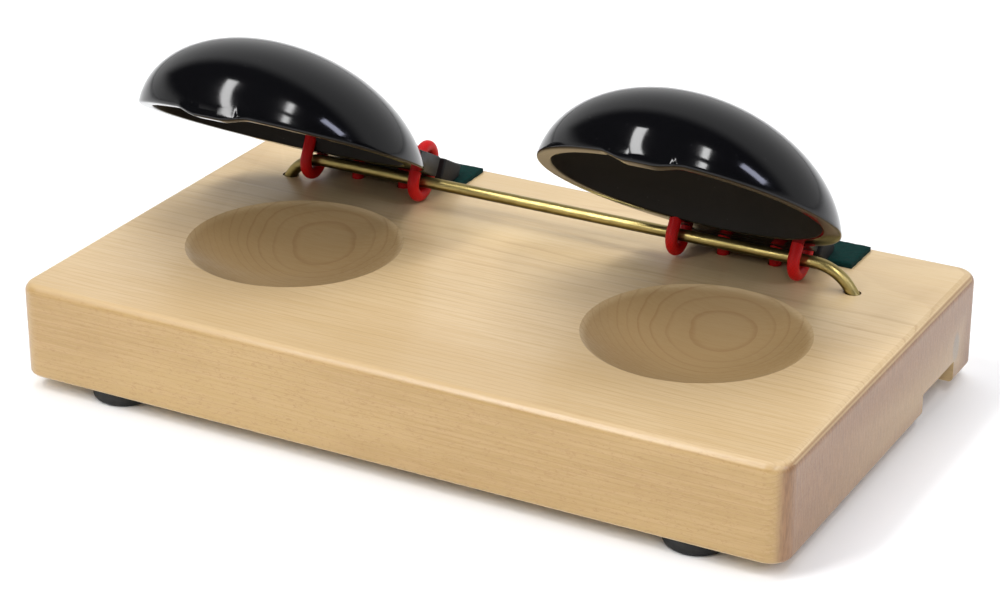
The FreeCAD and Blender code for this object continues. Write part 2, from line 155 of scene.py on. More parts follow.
def prism(name, outline, low, high, rounding=0.0):
    """An upright prism over an outline."""
    count = len(outline)
    points = [Vector((x, y, z)) for z in (low, high) for x, y in outline]
    faces = [tuple(range(count)), tuple(range(count, 2 * count))]
    faces += [(i, (i + 1) % count, count + (i + 1) % count, count + i) for i in range(count)]
    return mesh_from(name, points, faces, rounding)


def tube(name, path, radius, closed=False, sides=20):
    """A round tube along a list of close points, with a UV map: round it, and along it in mm."""
    count = len(path)
    ways = []
    for i in range(count):
        if closed:
            way = path[(i + 1) % count] - path[i - 1]
        else:
            way = path[min(i + 1, count - 1)] - path[max(i - 1, 0)]
        ways.append(way.normalized())
    start = ways[0].orthogonal().normalized()
    normals = [start]
    for i in range(1, count):
        turn = ways[i - 1].rotation_difference(ways[i])
        normals.append((turn @ normals[-1]).normalized())
    twist = 0.0
    if closed:
        last = ways[-1].rotation_difference(ways[0]) @ normals[-1]
        twist = math.atan2(ways[0].dot(last.cross(start)), last.dot(start))
    points, runs, run = [], [0.0], 0.0
    for i in range(count):
        spin = Matrix.Rotation(twist * i / count, 3, ways[i])
        across = spin @ normals[i]
        other = ways[i].cross(across)
        for k in range(sides):
            angle = 2 * math.pi * k / sides
            points.append(path[i] + (across * math.cos(angle) + other * math.sin(angle)) * radius)
        run += (path[(i + 1) % count] - path[i]).length
        runs.append(run)
    faces, uvs = [], []
    rows = count if closed else count - 1
    for i in range(rows):
        j = (i + 1) % count
        for k in range(sides):
            m = (k + 1) % sides
            faces.append((i * sides + k, i * sides + m, j * sides + m, j * sides + k))
            uvs += [(k / sides, runs[i]), ((k + 1) / sides, runs[i]),
                    ((k + 1) / sides, runs[i + 1]), (k / sides, runs[i + 1])]
    if not closed:
        for first, reverse in ((0, True), ((count - 1) * sides, False)):
            cap = list(range(first, first + sides))
            faces.append(tuple(cap[::-1] if reverse else cap))
            uvs += [(0.5, 0.0)] * sides
    mesh = mesh_from(name, points, faces)
    layer = mesh.uv_layers.new(name="along")
    for item, uv in zip(layer.data, uvs):
        item.uv = uv
    shade(mesh, 60.0)
    return mesh


def smooth_path(points, closed=False, step=0.25):
    """Close points along a Catmull-Rom curve through the given ones."""
    count = len(points)
    path = []
    for i in range(count if closed else count - 1):
        if closed:
            a, b, c, d = (points[(i + k) % count] for k in (-1, 0, 1, 2))
        else:
            b, c = points[i], points[i + 1]
            a = points[i - 1] if i else b * 2 - c
            d = points[i + 2] if i + 2 < count else c * 2 - b
        parts = max(2, round((c - b).length / step))
        for k in range(parts):
            t = k / parts
            path.append(0.5 * (2 * b + (c - a) * t + (2 * a - 5 * b + 4 * c - d) * t * t
                               + (3 * b - a - 3 * c + d) * t ** 3))
    if not closed:
        path.append(points[-1])
    return path


# ------------------------------------------------------------------ material helpers

class Tree:
    """Short calls that build one node tree."""

    def __init__(self, material):
        material.use_nodes = True
        self.nodes = material.node_tree.nodes
        self.links = material.node_tree.links
        self.nodes.clear()

    def add(self, kind, inputs=None, **settings):
        """A node with its settings and inputs: a socket is linked, anything else is set."""
        made = self.nodes.new(kind)
        for key, value in settings.items():
            setattr(made, key, value)
        for key, value in (inputs or {}).items():
            if isinstance(value, bpy.types.NodeSocket):
                self.links.new(value, made.inputs[key])
            else:
                made.inputs[key].default_value = value
        return made

    def math(self, operation, a, b=0.0, c=0.0):
        return self.add("ShaderNodeMath", {0: a, 1: b, 2: c}, operation=operation).outputs[0]

    def vector(self, operation, a, b=(0.0, 0.0, 0.0)):
        return self.add("ShaderNodeVectorMath", {0: a, 1: b}, operation=operation).outputs[0]

    def place(self, scale=(1.0, 1.0, 1.0)):
        """The point on the object in millimetres, stretched by the scale."""
        spot = self.add("ShaderNodeTexCoord").outputs["Object"]
        return self.vector("MULTIPLY", spot, tuple(s / MM for s in scale))

    def split(self, vector):
        parts = self.add("ShaderNodeSeparateXYZ", {0: vector}).outputs
        return parts[0], parts[1], parts[2]

    def noise(self, vector, scale=1.0, detail=3.0, rough=0.55, warp=0.0):
        made = self.add("ShaderNodeTexNoise", {
            "Vector": vector, "Scale": scale, "Detail": detail, "Roughness": rough,
            "Distortion": warp})
        return made.outputs[0]

    def spots(self, vector, scale=1.0, feature="F1"):
        made = self.add("ShaderNodeTexVoronoi", {"Vector": vector, "Scale": scale},
                        feature=feature)
        return made.outputs["Distance"]

    def between(self, value, low, high, to_low=0.0, to_high=1.0):
        """A smooth step of the value from low to high."""
        made = self.add("ShaderNodeMapRange", {
            "Value": value, "From Min": low, "From Max": high,
            "To Min": to_low, "To Max": to_high}, interpolation_type="SMOOTHSTEP")
        return made.outputs[0]

    def blend(self, factor, a, b, kind="MIX"):
        """Mix two colours, given as sockets or as RGB."""
        made = self.add("ShaderNodeMix", data_type="RGBA", blend_type=kind)
        for index, value in ((0, factor), (6, a), (7, b)):
            if isinstance(value, bpy.types.NodeSocket):
                self.links.new(value, made.inputs[index])
            elif index == 0:
                made.inputs[index].default_value = value
            else:
                made.inputs[index].default_value = (*value, 1.0)
        return made.outputs[2]

    def bump(self, height, depth, before=None):
        """A bump whose height of 1 stands for a depth in millimetres."""
        inputs = {"Height": height, "Strength": 1.0, "Distance": depth * MM}
        if before is not None:
            inputs["Normal"] = before
        return self.add("ShaderNodeBump", inputs).outputs[0]

    def finish(self, **inputs):
        """The Principled shader, joined to the output."""
        named = {key.replace("_", " "): value for key, value in inputs.items()}
        shader = self.add("ShaderNodeBsdfPrincipled", named)
        output = self.add("ShaderNodeOutputMaterial")
        self.links.new(shader.outputs[0], output.inputs["Surface"])
        return shader


def srgb(red, green, blue):
    """A linear colour from sRGB values of 0 to 255."""
    parts = [v / 255 for v in (red, green, blue)]
    return tuple(v / 12.92 if v <= 0.04045 else ((v + 0.055) / 1.055) ** 2.4 for v in parts)


def rgba(colour):
    return (*colour, 1.0)


def new_material(name):
    material = bpy.data.materials.new(name)
    return material, Tree(material)


def put_on(piece, material):
    """Make the material the piece's only one."""
    piece.data.materials.clear()
    piece.data.materials.append(material)


# ------------------------------------------------------------------ materials

def maple_material():
    """Pale lacquered maple whose growth rings lie nearly flat and run along X."""
    material, t = new_material("lacquered_maple")
    spot = t.place()
    _, y, z = t.split(spot)
    normal = t.add("ShaderNodeTexCoord").outputs["Normal"]
    nx, ny, nz = (t.math("ABSOLUTE", part) for part in t.split(normal))
    on_end = t.between(nx, 0.45, 0.85)
    on_side = t.between(ny, 0.5, 0.9)
    # growth rings: shallow arches across Y that wander a little along the block
    wander = t.noise(t.place((0.011, 0.03, 0.05)), 1.0, 2.0)
    fine_wander = t.noise(t.place((0.05, 0.16, 0.16)), 1.0, 2.0)
    heart_y, flatness, year_width = 42.0, 250.0, 1.25
    from_heart = t.math("SUBTRACT", y, heart_y)
    arch = t.math("DIVIDE", t.math("MULTIPLY", from_heart, from_heart), flatness)
    depth = t.math("ADD", t.math("ADD", z, arch), t.math("MULTIPLY", wander, 3.2))
    depth = t.math("ADD", depth, t.math("MULTIPLY", fine_wander, 0.35))
    years = t.math("DIVIDE", depth, year_width)
    ring = t.math("FRACT", years)
    line = t.math("MULTIPLY", t.between(ring, 0.72, 0.93), t.between(ring, 1.0, 0.955))
    number = t.add("ShaderNodeCombineXYZ", {2: t.math("FLOOR", years)}).outputs[0]
    year = t.noise(number, 3.7, 0.0)
    line = t.math("MULTIPLY", line, t.between(year, 0.3, 0.7, 0.35, 1.0))
    # fibres and pores run along X
    fibre = t.noise(t.place((0.05, 1.6, 1.6)), 1.0, 5.0, 0.65)
    pores = t.noise(t.place((0.22, 3.2, 3.2)), 1.0, 2.0, 0.6)
    # ray flecks: short dashes on the long sides
    fleck = t.noise(t.place((0.75, 1.9, 1.9)), 1.0, 4.0, 0.68, 0.8)
    fleck = t.between(fleck, 0.53, 0.66)
    # end grain: fine upright rays and open pores
    rays = t.noise(t.place((1.5, 1.9, 0.22)), 1.0, 3.0, 0.6)
    cloud = t.noise(t.place((0.012, 0.028, 0.05)), 1.0, 3.0, 0.5)
    in_hollow = t.math("MULTIPLY", t.between(z, WOOD_TOP - 0.15, WOOD_TOP - 1.2),
                       t.between(nz, 0.55, 0.8))
    in_hollow = t.math("MULTIPLY", in_hollow, t.between(z, WOOD_TOP - 12.0, WOOD_TOP - 9.5))
    face = t.blend(t.between(cloud, 0.35, 0.68), srgb(203, 177, 136), srgb(193, 165, 121))
    side = t.blend(t.between(cloud, 0.35, 0.68), srgb(182, 151, 97), srgb(170, 138, 85))
    end = t.blend(t.between(rays, 0.35, 0.65), srgb(149, 109, 71), srgb(130, 93, 58))
    colour = t.blend(on_side, face, side)
    colour = t.blend(t.between(fibre, 0.38, 0.66, 0.0, 0.5), colour, srgb(189, 157, 111))
    flecks = t.math("MULTIPLY", fleck, t.math("MULTIPLY", on_side, 0.5))
    colour = t.blend(flecks, colour, srgb(160, 122, 76))
    dashes = t.math("MULTIPLY", t.between(pores, 0.6, 0.72), 0.33)
    colour = t.blend(dashes, colour, srgb(172, 136, 90))
    colour = t.blend(on_end, colour, end)
    # the hollows are painted darker and browner: partly painted shade, partly oil soaked into the
    # dished wood
    colour = t.blend(t.math("MULTIPLY", in_hollow, 0.62), colour, srgb(162, 130, 84))
    strength = t.math("ADD", 0.3, t.math("MULTIPLY", in_hollow, 0.05))
    colour = t.blend(t.math("MULTIPLY", line, strength), colour, srgb(146, 104, 62))
    # a small grey mineral streak in the right end, near the back
    streak = t.vector("MULTIPLY", t.vector("SUBTRACT", spot, (100.0, 44.7, 12.6)),
                      (0.05, 0.42, 0.24))
    away = t.add("ShaderNodeVectorMath", {0: streak}, operation="LENGTH").outputs["Value"]
    away = t.math("ADD", away, t.math("MULTIPLY", t.math("SUBTRACT", rays, 0.5), 0.5))
    stain = t.math("MULTIPLY", t.between(away, 1.15, 0.55), on_end)
    colour = t.blend(t.math("MULTIPLY", stain, 0.8), colour, srgb(84, 82, 86))
    # edges are painted paler: a painted highlight along the rounded edges
    edge = t.add("ShaderNodeNewGeometry").outputs["Pointiness"]
    painted_edge_highlight = t.math("MULTIPLY", t.between(edge, 0.52, 0.6, 0.0, 0.35),
                      t.between(in_hollow, 0.4, 0.1))
    colour = t.blend(painted_edge_highlight, colour, srgb(234, 210, 166))
    height = t.math("ADD", t.math("MULTIPLY", fibre, 0.6), t.math("MULTIPLY", pores, 0.4))
    height = t.math("SUBTRACT", height, t.math("MULTIPLY", line, 0.3))
    height = t.blend(on_end, height, rays)
    rough = t.between(fibre, 0.3, 0.75, 0.36, 0.5)
    shader = t.finish(Base_Color=colour, Roughness=rough, Normal=t.bump(height, 0.045))
    shader.inputs["Coat Weight"].default_value = 0.35
    shader.inputs["Coat Roughness"].default_value = 0.22
    return material


def brass_material():
    """Drawn brass, painted darker and browner on its underside as painted shade, with tarnish
    patches.
    """
    material, t = new_material("drawn_brass")
    nz = t.split(t.add("ShaderNodeTexCoord").outputs["Normal"])[2]
    patches = t.noise(t.place((0.12, 0.5, 0.5)), 1.0, 4.0, 0.6)
    scratch = t.noise(t.place((0.25, 6.0, 6.0)), 1.0, 3.0, 0.6)
    # the underside is painted darker and browner: painted shade, mixed with tarnish patches
    painted_underside_shade = t.math("ADD", t.between(nz, 0.35, -0.55), t.math("SUBTRACT", patches, 0.5))
    colour = t.blend(t.between(painted_underside_shade, 0.1, 0.9), srgb(176, 158, 100), srgb(84, 74, 36))
    colour = t.blend(t.between(scratch, 0.55, 0.75, 0.0, 0.35), colour, srgb(200, 186, 136))
    rough = t.between(patches, 0.3, 0.7, 0.3, 0.46)
    t.finish(Base_Color=colour, Metallic=1.0, Roughness=rough, Normal=t.bump(scratch, 0.02))
    return material


def shell_material():
    """Glossy black moulding with faint polishing haze, duller inside and on the heel."""
    material, t = new_material("gloss_black")
    haze = t.noise(t.place((0.06, 0.06, 0.06)), 1.0, 4.0, 0.6)
    peel = t.noise(t.place((0.35, 0.35, 0.35)), 1.0, 2.0, 0.5)
    dust = t.spots(t.place((0.42, 0.42, 0.42)))
    dull = t.add("ShaderNodeAttribute", attribute_name="dull").outputs["Fac"]
    grit = t.noise(t.place((1.4, 1.4, 1.4)), 1.0, 3.0, 0.6)
    edge = t.add("ShaderNodeNewGeometry").outputs["Pointiness"]
    colour = t.blend(dull, srgb(9, 9, 11), srgb(13, 13, 13))
    colour = t.blend(t.between(dust, 0.06, 0.02, 0.0, 0.25), colour, srgb(120, 120, 118))
    # paler along sharp edges: a painted highlight on the rim's small chamfer, with some edge wear
    colour = t.blend(t.between(edge, 0.53, 0.62, 0.0, 0.5), colour, srgb(58, 57, 56))
    rough = t.math("ADD", t.between(haze, 0.3, 0.7, 0.07, 0.14), t.math("MULTIPLY", dull, 0.6))
    normal = t.bump(peel, 0.006)
    normal = t.bump(t.math("MULTIPLY", grit, dull), 0.03, normal)
    shader = t.finish(Base_Color=colour, Roughness=rough, Normal=normal)
    shader.inputs["Specular IOR Level"].default_value = 0.32
    return material


def cord_material():
    """Red elastic cord: a tight woven cover whose crossing ribs hardly show."""
    material, t = new_material("red_elastic")
    u, v, _ = t.split(t.add("ShaderNodeUVMap", uv_map="along").outputs[0])
    strands, pitch = 12, 0.8
    around = t.math("MULTIPLY", u, 2 * math.pi * strands)
    along = t.math("MULTIPLY", v, 2 * math.pi / pitch)
    one = t.math("SINE", t.math("ADD", around, along))
    two = t.math("SINE", t.math("SUBTRACT", around, along))
    weave = t.math("MAXIMUM", one, two)
    fluff = t.noise(t.place((2.2, 2.2, 2.2)), 1.0, 3.0, 0.6)
    colour = t.blend(t.between(weave, -0.2, 0.9), srgb(176, 0, 2), srgb(200, 2, 3))
    colour = t.blend(t.between(fluff, 0.5, 0.72, 0.0, 0.3), colour, srgb(214, 8, 8))
    height = t.math("ADD", t.math("MULTIPLY", weave, 0.5), t.math("MULTIPLY", fluff, 0.4))
    rough = t.between(fluff, 0.3, 0.7, 0.45, 0.6)
    shader = t.finish(Base_Color=colour, Roughness=rough, Normal=t.bump(height, 0.018))
    shader.inputs["Specular IOR Level"].default_value = 0.3
    return material


def felt_material():
    """Dense felt: matted fibres with lighter loose ones on top."""
    material, t = new_material("green_felt")
    mat = t.noise(t.place((1.1, 1.1, 1.1)), 1.0, 5.0, 0.7, 1.5)
    hair = t.noise(t.place((0.5, 3.0, 3.0)), 1.0, 4.0, 0.7, 2.5)
    worn = t.noise(t.place((0.09, 0.09, 0.09)), 1.0, 3.0)
    colour = t.blend(t.between(mat, 0.3, 0.7), srgb(2, 32, 29), srgb(4, 54, 49))
    colour = t.blend(t.between(hair, 0.56, 0.72, 0.0, 0.55), colour, srgb(14, 72, 65))
    colour = t.blend(t.between(worn, 0.45, 0.7, 0.0, 0.3), colour, srgb(6, 42, 40))
    height = t.math("ADD", mat, t.math("MULTIPLY", hair, 0.7))
    rough = t.between(mat, 0.3, 0.7, 0.85, 0.97)
    shader = t.finish(Base_Color=colour, Roughness=rough, Normal=t.bump(height, 0.22))
    shader.inputs["Specular IOR Level"].default_value = 0.2
    return material


def rubber_material():
    """Moulded black rubber with a dusty, faintly scuffed skin."""
    material, t = new_material("moulded_rubber")
    grain = t.noise(t.place((1.8, 1.8, 1.8)), 1.0, 3.0, 0.6)
    scuff = t.noise(t.place((0.2, 0.2, 0.9)), 1.0, 4.0, 0.65)
    edge = t.add("ShaderNodeNewGeometry").outputs["Pointiness"]
    colour = t.blend(t.between(scuff, 0.45, 0.75, 0.0, 0.7), srgb(9, 9, 9), srgb(24, 24, 23))
    colour = t.blend(t.between(edge, 0.52, 0.62, 0.0, 0.6), colour, srgb(36, 35, 34))
    rough = t.between(scuff, 0.3, 0.7, 0.6, 0.8)
    t.finish(Base_Color=colour, Roughness=rough, Normal=t.bump(grain, 0.05))
    return material


def steel_material():
    """Zinc-plated steel, lathe marks across the head and rub marks in the recess."""
    material, t = new_material("zinc_steel")
    lathe = t.noise(t.place((0.6, 0.6, 7.0)), 1.0, 3.0, 0.6)
    blotch = t.noise(t.place((0.7, 0.7, 0.7)), 1.0, 4.0, 0.6)
    colour = t.blend(t.between(blotch, 0.35, 0.7), srgb(196, 198, 202), srgb(150, 152, 158))
    rough = t.between(lathe, 0.3, 0.7, 0.26, 0.45)
    t.finish(Base_Color=colour, Metallic=1.0, Roughness=rough, Normal=t.bump(lathe, 0.02))
    return material


def floor_material():
    material, t = new_material("floor")
    soft = t.noise(t.place((0.004, 0.004, 0.004)), 1.0, 2.0)
    rough = t.between(soft, 0.3, 0.7, 0.6, 0.7)
    t.finish(Base_Color=rgba((0.95, 0.95, 0.95)), Roughness=rough)
    return material


# ------------------------------------------------------------------ castanet shells

def shell_matrix(side):
    """From the shell's own frame, in millimetres, to the row frame, still in millimetres."""
    tilt = Matrix.Rotation(math.radians(-SHELLS[side]["open"]), 4, "X")
    return Matrix.Translation(HINGE[side + "_castanet"]) @ tilt


def dome_point(form, rim, height, angle):
    """A point of a leaning ellipsoid: height is 1 at its crown and 0 at its widest level."""
    tall = form["rise"] + SINK
    spread = 1 / math.sqrt(1 - (SINK / tall) ** 2)
    level = math.sqrt(max(0.0, 1 - height * height))
    x = form["rx"] * spread * level * math.cos(angle)
    y = form["ry"] * spread * level * math.sin(angle) - LEAN * (tall * height - SINK)
    return Vector((x, y - form["mid"], tall * height + rim - SINK))


def rim_height(form):
    return SINK / (form["rise"] + SINK)


def profile_at(rim, angle):
    """Points from the outer crown round the rim's edge to the crown of the bowl."""
    outer_round, inner_round = 0.8, 0.5
    crown_steps, bend_steps = 44, 5
    points = []
    for form, edge_round in ((OUTER, outer_round), (BOWL, inner_round)):
        tall = form["rise"] + SINK
        low = math.acos((SINK + edge_round) / tall)
        wall = [dome_point(form, rim, math.cos(low * (i + 1) / crown_steps), angle)
                for i in range(crown_steps)]
        other = BOWL if form is OUTER else OUTER
        corner = dome_point(form, rim, rim_height(form), angle)
        flat = dome_point(other, rim, rim_height(other), angle) - corner
        flat_end = corner + flat.normalized() * edge_round
        bend = []
        for i in range(1, bend_steps + 1):
            k = i / bend_steps
            bend.append(wall[-1] * (1 - k) ** 2 + corner * (2 * k * (1 - k)) + flat_end * k * k)
        points.append(wall + bend)
    outer, bowl = points
    between = [outer[-1].lerp(bowl[-1], k) for k in (0.33, 0.66)]
    return outer + between + bowl[::-1]


def step_between(value, low, high):
    k = min(1.0, max(0.0, (value - low) / (high - low)))
    return k * k * (3 - 2 * k)


def press_lip(point, side, angle, outside):
    """Move a point of the rim's front down and out, and hollow the wall over it."""
    rim = SHELLS[side]["rim"]
    front = -90.0 + SHELLS[side]["lip"]
    across = math.radians(math.degrees(angle) - front) * OUTER["rx"]
    height = point.z - rim
    if abs(across) > LIP["half"] + 2.0 or height > 7.0:
        return point
    out = Vector((math.cos(angle), math.sin(angle), 0.0))
    drop = step_between(abs(across), LIP["half"], LIP["full"])
    down = LIP["down"] * drop * step_between(height, LIP["high"], 0.2)
    push = 0.0
    if outside:
        # the scoop is a lens: deepest in the middle, running out at both ends
        half = LIP["scoop_half"]
        top = 0.7 + 1.5 * math.sqrt(max(0.0, 1 - (across / half) ** 2))
        scoop = step_between(height, top, top * 0.55) * step_between(height, 0.4, 1.3)
        lens = step_between(abs(across), half, half - 2.5)
        push = LIP["out"] * drop * step_between(height, 1.5, 0.4) - LIP["scoop"] * lens * scoop
        # a small upright nub stands at the right end of the scoop
        nub = math.exp(-((across - LIP["nub_at"]) / LIP["nub_half"]) ** 2)
        push += LIP["nub"] * nub * step_between(height, 2.0, 1.2)
    return point + out * push - Vector((0.0, 0.0, down))


def dome_mesh(side):
    """The whole round part as one closed skin, outside, rim and bowl."""
    rim, lip = SHELLS[side]["rim"], SHELLS[side]["lip"]
    coarse, fine, fine_count = 2, 0.5, 40
    angles = [float(a) for a in range(0, 360, coarse)]
    front = (-90.0 + lip) % 360
    near_lip = [front + fine * k for k in range(-fine_count, fine_count + 1)]
    angles += [a for a in near_lip if a % coarse]
    angles = sorted(set(a % 360 for a in angles))
    yaw = Matrix.Rotation(math.radians(-SHELLS[side]["yaw"]), 3, "Z")
    points, faces = [], []
    rows = 0
    for degrees in angles:
        angle = math.radians(degrees)
        if angle > math.pi:
            angle -= 2 * math.pi
        column = profile_at(rim, angle)
        rows = len(column)
        middle = rows // 2
        points += [yaw @ press_lip(p, side, angle, i < middle) for i, p in enumerate(column)]
    count = len(angles)
    top = yaw @ dome_point(OUTER, rim, 1.0, 0.0)
    bowl_top = yaw @ dome_point(BOWL, rim, 1.0, 0.0)
    points += [top, bowl_top]
    for i in range(count):
        j = (i + 1) % count
        for k in range(rows - 1):
            faces.append((i * rows + k, i * rows + k + 1, j * rows + k + 1, j * rows + k))
        faces.append((count * rows, i * rows, j * rows))
        faces.append((i * rows + rows - 1, count * rows + 1, j * rows + rows - 1))
    mesh = mesh_from(side + "_dome", points, faces)
    shade(mesh)
    return mesh


def tail_mesh(side):
    """Ears and heel in one slab, notched behind the ears for the strands of the cord rings."""
    rim = SHELLS[side]["rim"]
    waist = RING_X - HOLE_RADIUS - SEAT_PLAY
    notch_back = EAR_BACK + NOTCH
    shoulder = EAR_HALF - 0.2
    half = [(EAR_HALF, EAR_FRONT), (EAR_HALF, EAR_BACK), (waist, EAR_BACK), (waist, notch_back),
            (shoulder, notch_back)]
    centre = (EAR_HALF - HEEL_TAPER - HEEL_ROUND, HEEL_LONG - HEEL_ROUND)
    corner_steps = 6
    for k in range(corner_steps + 1):
        angle = math.radians(90 * k / corner_steps)
        half.append((centre[0] + HEEL_ROUND * math.cos(angle),
                     centre[1] + HEEL_ROUND * math.sin(angle)))
    outline = half + [(-x, y) for x, y in half[::-1]]
    return prism(side + "_tail", outline, rim + 0.03, rim + HEEL_THICK, rounding=0.5)


def under_felt_mesh(side):
    """A big block, in the shell's frame, under the level the open heel may reach down to."""
    level = FELT_TOP + HEEL_GAP - HINGE[side + "_castanet"].z
    turn = Matrix.Rotation(math.radians(SHELLS[side]["open"]), 3, "X")
    big = 60.0
    corners = [(-big, -big), (big, -big), (big, big), (-big, big)]
    points = [turn @ Vector((x, y, z)) for z in (level - big, level) for x, y in corners]
    faces = [(0, 3, 2, 1), (4, 5, 6, 7), (0, 1, 5, 4), (1, 2, 6, 5), (2, 3, 7, 6), (3, 0, 4, 7)]
    return mesh_from(side + "_under_felt", points, faces)


def rod_of(name, radius, place, length, sides=32):
    """A plain round cutter along Z."""
    outline = [(place.x + radius * math.cos(2 * math.pi * k / sides),
                place.y + radius * math.sin(2 * math.pi * k / sides)) for k in range(sides)]
    return prism(name, outline, place.z, place.z + length)


def heel_hole(side, sign):
    """The mouth of a pull cord's hole in the heel's flat underside, in the shell's frame."""
    frame_back = shell_matrix(side).inverted()
    x = HINGE[side + "_castanet"].x + sign * PULL_X
    low = frame_back @ Vector((x, PULL_Y, 0.0))
    high = frame_back @ Vector((x, PULL_Y, 100.0))
    return low.lerp(high, (SHELLS[side]["rim"] - low.z) / (high.z - low.z))


def hollow_mesh(side):
    """A closed solid a little larger than the bowl, to trim what would stand out into it."""
    rim, wall, skirt = SHELLS[side]["rim"], 0.7, 4.0
    form = {"rx": BOWL["rx"] + wall, "ry": BOWL["ry"] + wall, "rise": BOWL["rise"] + wall,
            "mid": BOWL["mid"]}
    rings, spokes = 26, 96
    low = math.acos(rim_height(form))
    yaw = Matrix.Rotation(math.radians(-SHELLS[side]["yaw"]), 3, "Z")
    points, faces = [], []
    for k in range(spokes):
        angle = 2 * math.pi * k / spokes
        edge = dome_point(form, rim, rim_height(form), angle)
        points.append(yaw @ (edge - Vector((0.0, 0.0, skirt))))
        points += [yaw @ dome_point(form, rim, math.cos(low * (1 - i / rings)), angle)
                   for i in range(rings)]
    points.append(yaw @ dome_point(form, rim, 1.0, 0.0))
    stride = rings + 1
    for k in range(spokes):
        m = (k + 1) % spokes
        faces += [(k * stride + i, m * stride + i, m * stride + i + 1, k * stride + i + 1)
                  for i in range(rings)]
        faces.append((k * stride + rings, m * stride + rings, len(points) - 1))
    faces.append(tuple(k * stride for k in range(spokes))[::-1])
    return mesh_from(side + "_hollow_tool", points, faces)


def mark_dull(piece, side):
    """How dull each point of the shell is: the bowl, the ears' seats and the heel are."""
    rim = SHELLS[side]["rim"]
    yaw = Matrix.Rotation(math.radians(SHELLS[side]["yaw"]), 3, "Z")
    layer = piece.data.attributes.new("dull", "FLOAT", "POINT")
    tall = BOWL["rise"] + SINK
    spread = 1 / math.sqrt(1 - (SINK / tall) ** 2)
    values = []
    for vertex in piece.data.vertices:
        spot = vertex.co / MM
        turned = yaw @ spot
        height = (spot.z - rim + SINK) / tall
        x = turned.x / (BOWL["rx"] * spread)
        y = (turned.y + BOWL["mid"] + LEAN * (tall * height - SINK)) / (BOWL["ry"] * spread)
        inside = x * x + y * y + height * height < 1.02 and spot.z > rim + 0.2
        on_slab = spot.y > -1.0 and abs(spot.x) > 14.0
        values.append(0.75 if inside else max(0.9 * step_between(spot.y, 1.2, 3.0), 0.9 * on_slab))
    layer.data.foreach_set("value", values)


def make_shell(side, material):
    row = SHELLS[side]
    piece = new_piece(side + "_castanet_shell", dome_mesh(side))
    tail = new_piece("tail", tail_mesh(side))
    trims = [new_piece("under_felt", under_felt_mesh(side)), new_piece("hollow", hollow_mesh(side))]
    boolean(tail, trims, "DIFFERENCE")
    boolean(piece, [tail], "UNION")
    cutters = []
    half, big, hole_length = HOLE_RADIUS + SEAT_PLAY, 30.0, 40.0
    below = Vector((0.0, 0.0, -5.0))
    notch_back = EAR_BACK + NOTCH
    apart = 0.02
    for sign in (-1, 1):
        x = sign * RING_X
        front = -RING_RADIUS - half
        seat = prism("seat", [(x - half, front), (x + half, front), (x + half, notch_back),
                              (x - half, notch_back)], row["rim"] + EAR_THICK, big)
        cutters.append(new_piece("seat", seat))
        # the notch's cutter lies a hair off the slab's own notch, so that no faces coincide
        near, far = x - sign * (half - apart), x + sign * big
        front, back = EAR_BACK - apart, notch_back - apart
        notch = prism("notch", [(near, front), (far, front), (far, back), (near, back)], -big, big)
        cutters.append(new_piece("notch", notch))
        for start in (Vector((x, -RING_RADIUS, 0.0)), heel_hole(side, sign)):
            hole = rod_of("hole", HOLE_RADIUS, start + below, hole_length)
            cutters.append(new_piece("hole", hole))
    boolean(piece, cutters, "DIFFERENCE")
    mark_dull(piece, side)
    shade(piece.data, 34.0)
    place = shell_matrix(side)
    place.translation *= MM
    piece.data.transform(place)
    put_on(piece, material)
    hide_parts(side + "_shell")
    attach(piece, side + "_castanet")


# ------------------------------------------------------------------ red cord

def make_ring(side, name, sign, material):
    """A ring of elastic through the ear and round the rod: two half circles joined by strands."""
    place = shell_matrix(side)
    x = sign * RING_X
    top = SHELLS[side]["rim"] + EAR_THICK + CORD_SLIP
    points = []
    steps = 8
    for first, level in ((0, top), (180, 0.0)):
        for k in range(steps + 1):
            angle = math.radians(first + 180 / steps * k)
            points.append(Vector((x, RING_RADIUS * math.cos(angle),
                                  level + RING_RADIUS * math.sin(angle))))
    path = [place @ p for p in smooth_path(points, closed=True)]
    piece = new_piece(name, tube(name, path, CORD_RADIUS, closed=True))
    put_on(piece, material)
    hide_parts(name.replace("_ring", "_loop"))
    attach(piece, side + "_castanet")


def make_pull_cord(side, material):
    """One cord from the groove up through the block, over the heel and back down."""
    place = shell_matrix(side)
    hinge = HINGE[side + "_castanet"]
    across = SHELLS[side]["rim"] + HEEL_THICK + CORD_RADIUS + CORD_PLAY
    bend = 2.2
    up = Vector((0.0, 0.0, 1.0))
    strands = {}
    for sign in (-1, 1):
        x = hinge.x + sign * PULL_X
        mouth = heel_hole(side, sign)
        inner = Vector((-sign * bend, 0.0, 0.0))
        crown = Vector((mouth.x, mouth.y, across))
        in_block = [(x - sign * 2.4, CORD_RUN), (x - sign * 0.7, CORD_RUN + 0.7),
                    (x, CORD_RUN + 2.4), (x, 15.0), (x, 24.0), (x, WOOD_TOP - 1.0)]
        in_heel = [mouth + up * 0.6, mouth + up * 3.5, crown - up * bend,
                   crown + inner * 0.3 - up * (0.3 * bend), crown + inner]
        strands[sign] = ([Vector((along, PULL_Y, height)) for along, height in in_block]
                         + [place @ spot for spot in in_heel])
    points = strands[-1] + strands[1][::-1]
    path = smooth_path(points, closed=True)
    piece = new_piece(side + "_elastic", tube(side + "_elastic", path, CORD_RADIUS, closed=True))
    put_on(piece, material)
    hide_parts(side + "_heel_loop", side + "_pull_cord")
    mouth = place @ heel_hole(side, 1)
    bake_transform(piece)


